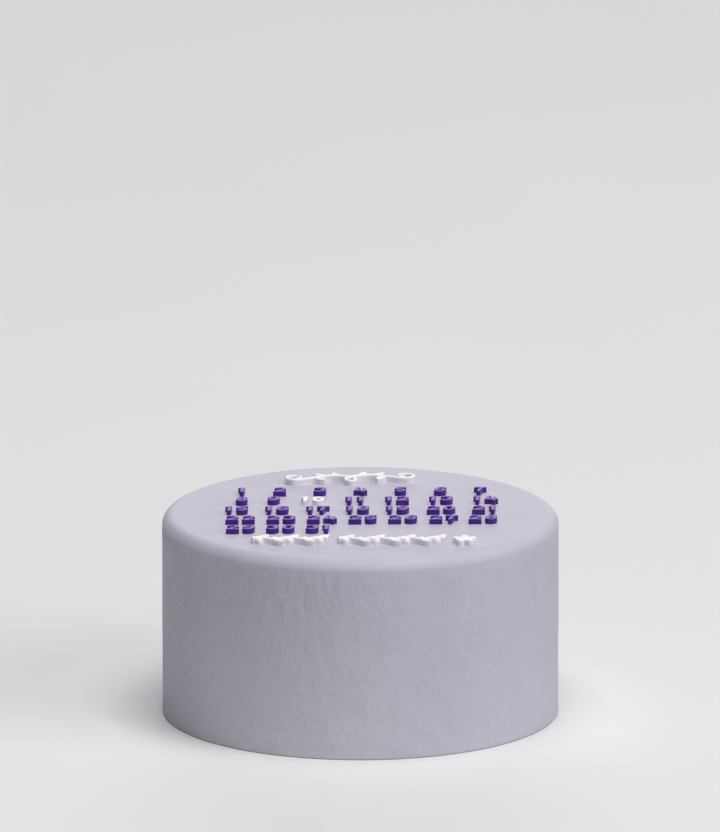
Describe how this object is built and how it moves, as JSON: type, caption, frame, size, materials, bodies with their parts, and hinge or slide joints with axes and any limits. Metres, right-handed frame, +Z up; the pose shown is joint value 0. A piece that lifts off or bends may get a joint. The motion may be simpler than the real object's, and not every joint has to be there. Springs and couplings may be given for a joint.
{
  "type": "celebration cake",
  "caption": "Round covered celebration cake with a flat top, a rounded rim, and a month's days on it as raised numerals between leafy sugar ornaments.",
  "frame": {"origin": "middle of the foot, on the surface that the cake stands on", "axes": "+Z up; -Y to the front, from which the numerals read upright; +X to the right"},
  "size_m": [0.2, 0.2, 0.1058],
  "materials": {
    "lilac_icing": "satin-matte lilac sugar paste, smoothed by hand, with faint wrinkles on the side",
    "purple_paste": "purple sugar paste, slightly soft at the edges, with a low sheen",
    "white_paste": "white sugar paste, slightly soft at the edges"
  },
  "bodies": {
    "root": {"cake": "lilac_icing", "day_01_units": "purple_paste", "day_02_units": "purple_paste", "day_03_units": "purple_paste", "day_04_units": "purple_paste", "day_05_units": "purple_paste", "day_06_units": "purple_paste", "day_07_units": "purple_paste", "day_08_units": "purple_paste", "day_09_units": "purple_paste", "day_10_tens": "white_paste", "day_10_units": "white_paste", "day_11_tens": "purple_paste", "day_11_units": "purple_paste", "day_12_tens": "purple_paste", "day_12_units": "purple_paste", "day_13_tens": "purple_paste", "day_13_units": "purple_paste", "day_14_tens": "purple_paste", "day_14_units": "purple_paste", "day_15_tens": "purple_paste", "day_15_units": "purple_paste", "day_16_tens": "purple_paste", "day_16_units": "purple_paste", "day_17_tens": "purple_paste", "day_17_units": "purple_paste", "day_18_tens": "purple_paste", "day_18_units": "purple_paste", "day_19_tens": "purple_paste", "day_19_units": "purple_paste", "day_20_tens": "purple_paste", "day_20_units": "purple_paste", "day_21_tens": "purple_paste", "day_21_units": "purple_paste", "day_22_tens": "purple_paste", "day_22_units": "purple_paste", "day_23_tens": "purple_paste", "day_23_units": "purple_paste", "day_24_tens": "purple_paste", "day_24_units": "purple_paste", "day_25_tens": "purple_paste", "day_25_units": "purple_paste", "day_26_tens": "purple_paste", "day_26_units": "purple_paste", "day_27_tens": "purple_paste", "day_27_units": "purple_paste", "day_28_tens": "purple_paste", "day_28_units": "purple_paste", "day_29_tens": "purple_paste", "day_29_units": "purple_paste", "day_30_tens": "purple_paste", "day_30_units": "purple_paste", "day_31_tens": "purple_paste", "day_31_units": "purple_paste", "scroll_back": "white_paste", "garland_front_left": "white_paste", "garland_front_middle": "white_paste", "flower_front_right": "white_paste"}
  },
  "joints": []
}
